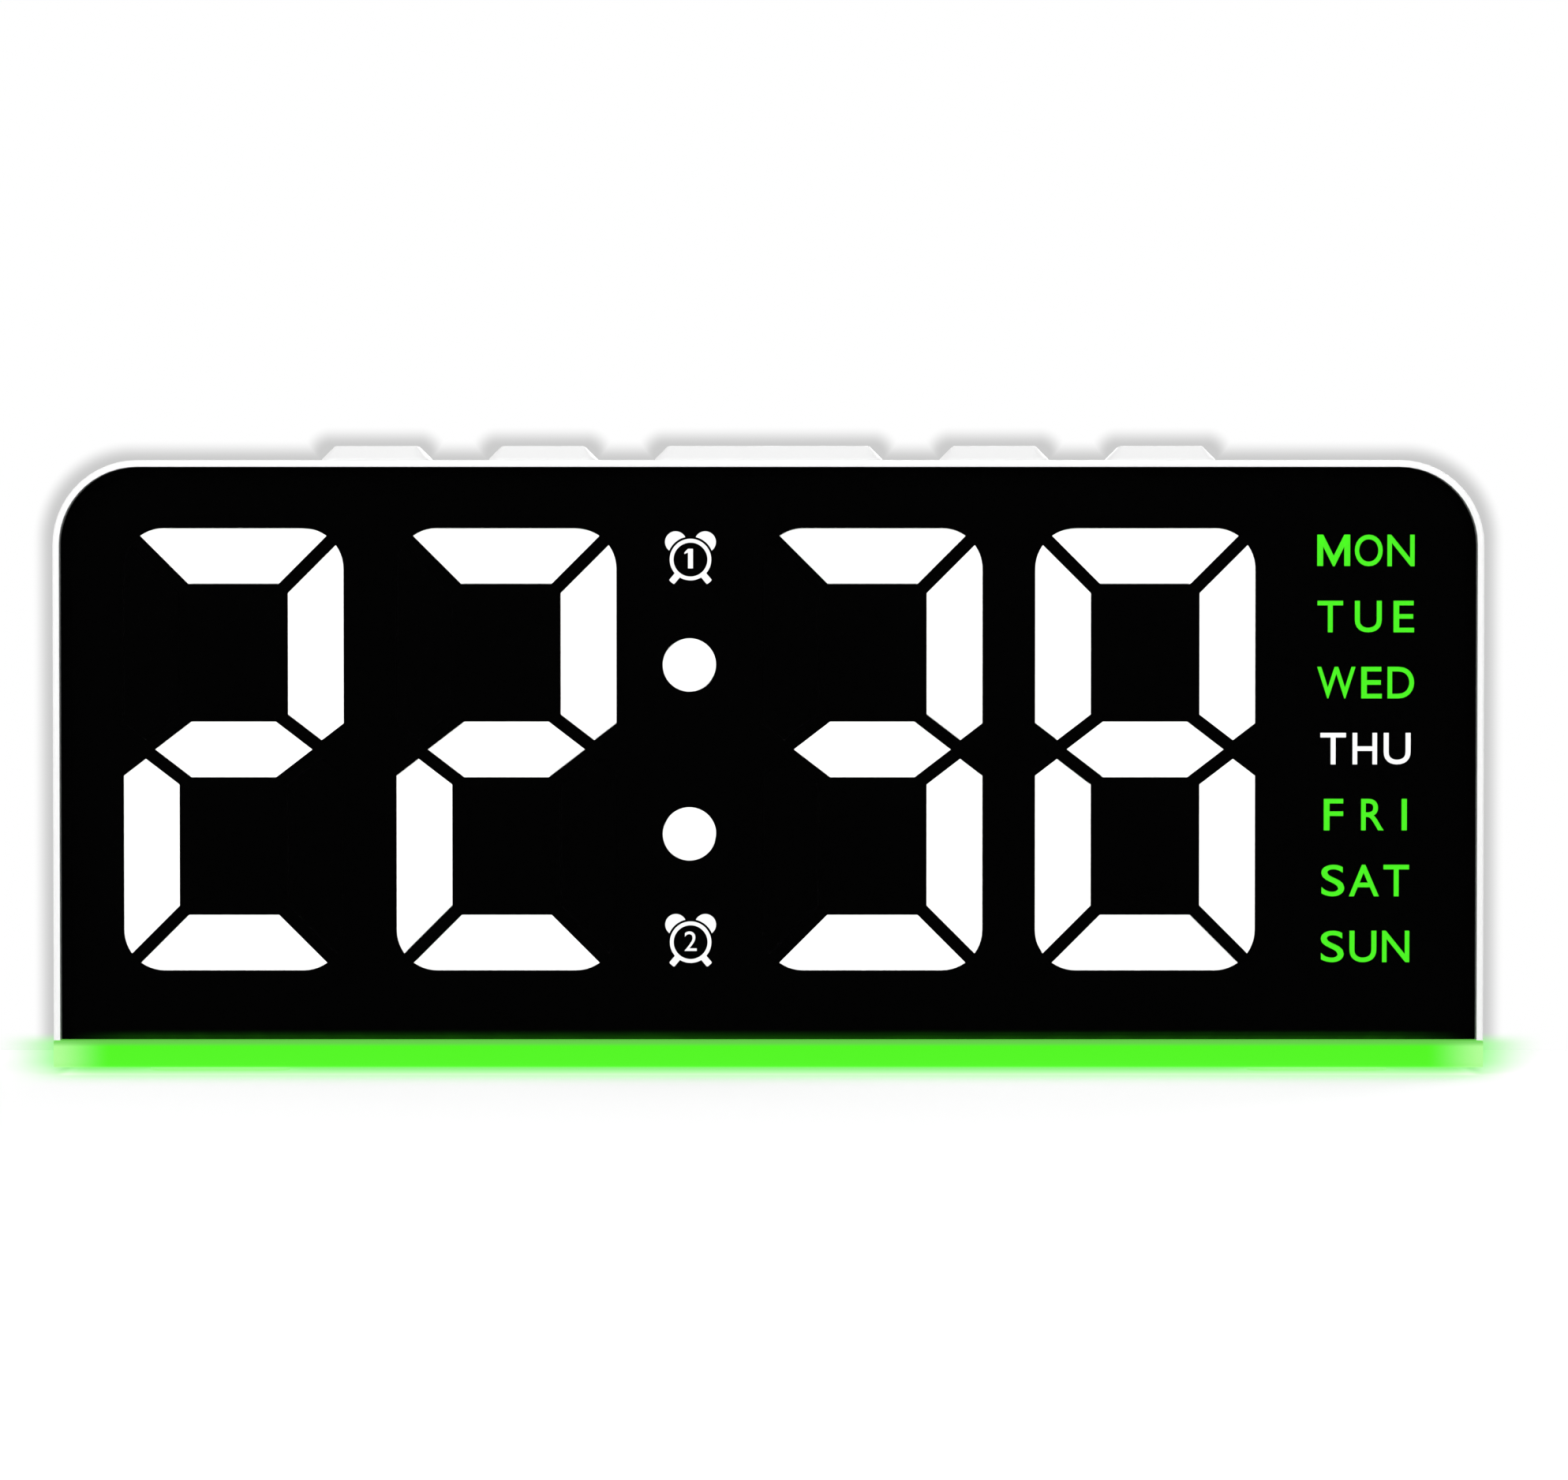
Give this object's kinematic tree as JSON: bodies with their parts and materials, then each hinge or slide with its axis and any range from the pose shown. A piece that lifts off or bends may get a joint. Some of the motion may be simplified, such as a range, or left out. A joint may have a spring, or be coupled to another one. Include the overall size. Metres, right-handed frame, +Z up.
{
  "type": "digital alarm clock",
  "caption": "Low digital alarm clock with a smoked front, segment digits, sprung top keys, a glowing foot bar, a hinged battery door and a USB inlet.",
  "frame": {"origin": "on the table, under the middle of the clock's bounding box", "axes": "+X to the right seen from the front, the display faces -Y, +Z up"},
  "size_m": [0.16, 0.035, 0.0706],
  "materials": {
    "casing_plastic": "satin white",
    "key_plastic": "satin light grey",
    "smoked_lens": "polished smoked acrylic",
    "black_film": "printed black film",
    "display_block": "moulded white",
    "lit_guide": "glowing white",
    "dark_guide": "unlit",
    "legend_guide": "glowing green",
    "light_bar_plastic": "translucent, glowing green",
    "circuit_board": "green solder mask",
    "led_package": "moulded",
    "chip_plastic": "moulded black",
    "bright_steel": "nickel plated",
    "capacitor_can": "drawn can",
    "connector_plastic": "moulded",
    "pin_metal": "gold flashed",
    "lead_insulation": "insulated wire",
    "foot_rubber": "clear silicone",
    "screw_steel": "blackened"
  },
  "bodies": {
    "case": {"housing": "casing_plastic", "rear_cover": "casing_plastic", "front_lens": "smoked_lens", "lens_tape": "black_film", "display_mask": "black_film", "display_reflector": "display_block", "colon_dots": "lit_guide", "alarm_guides": "lit_guide", "weekday_guides": "legend_guide", "hour_tens_lit": "lit_guide", "hour_tens_dark": "dark_guide", "hour_units_lit": "lit_guide", "hour_units_dark": "dark_guide", "minute_tens_lit": "lit_guide", "minute_tens_dark": "dark_guide", "minute_units_lit": "lit_guide", "main_board": "circuit_board", "segment_leds": "led_package", "clock_chip": "chip_plastic", "driver_chip": "chip_plastic", "crystal": "bright_steel", "capacitors": "capacitor_can", "resistors": "chip_plastic", "buzzer": "chip_plastic", "key_board": "circuit_board", "key_switches": "chip_plastic", "key_header": "pin_metal", "light_bar": "light_bar_plastic", "light_strip_board": "circuit_board", "light_strip_leds": "led_package", "inlet_board": "circuit_board", "usb_socket": "bright_steel", "battery_plates": "bright_steel", "battery_springs": "bright_steel", "lead_connectors": "connector_plastic", "inlet_leads": "lead_insulation", "battery_leads": "lead_insulation", "strip_leads": "lead_insulation", "rubber_feet": "foot_rubber", "cover_screws": "screw_steel", "board_screws": "screw_steel"},
    "battery_door": {"battery_door": "casing_plastic"},
    "mode_key": {"mode_key": "key_plastic", "mode_plunger": "chip_plastic"},
    "alarm_key": {"alarm_key": "key_plastic", "alarm_plunger": "chip_plastic"},
    "snooze_key": {"snooze_key": "key_plastic", "snooze_plunger": "chip_plastic"},
    "down_key": {"down_key": "key_plastic", "down_plunger": "chip_plastic"},
    "up_key": {"up_key": "key_plastic", "up_plunger": "chip_plastic"}
  },
  "joints": [
    {"name": "mode_press", "type": "slide", "parent": "case", "child": "mode_key", "axis": [0, 0, -1], "range_m": [0, 0.0005], "stiffness_N_per_m": 2000, "springref_m": -0.0001},
    {"name": "alarm_press", "type": "slide", "parent": "case", "child": "alarm_key", "axis": [0, 0, -1], "range_m": [0, 0.0005], "stiffness_N_per_m": 2000, "springref_m": -0.0001},
    {"name": "snooze_press", "type": "slide", "parent": "case", "child": "snooze_key", "axis": [0, 0, -1], "range_m": [0, 0.0005], "stiffness_N_per_m": 2000, "springref_m": -0.0001},
    {"name": "down_press", "type": "slide", "parent": "case", "child": "down_key", "axis": [0, 0, -1], "range_m": [0, 0.0005], "stiffness_N_per_m": 2000, "springref_m": -0.0001},
    {"name": "up_press", "type": "slide", "parent": "case", "child": "up_key", "axis": [0, 0, -1], "range_m": [0, 0.0005], "stiffness_N_per_m": 2000, "springref_m": -0.0001},
    {"name": "battery_door_hinge", "type": "hinge", "parent": "case", "child": "battery_door", "pos_m": [-0.034, 0.0159, 0.01845], "axis": [-1, 0, 0], "range_deg": [0, 90]}
  ]
}
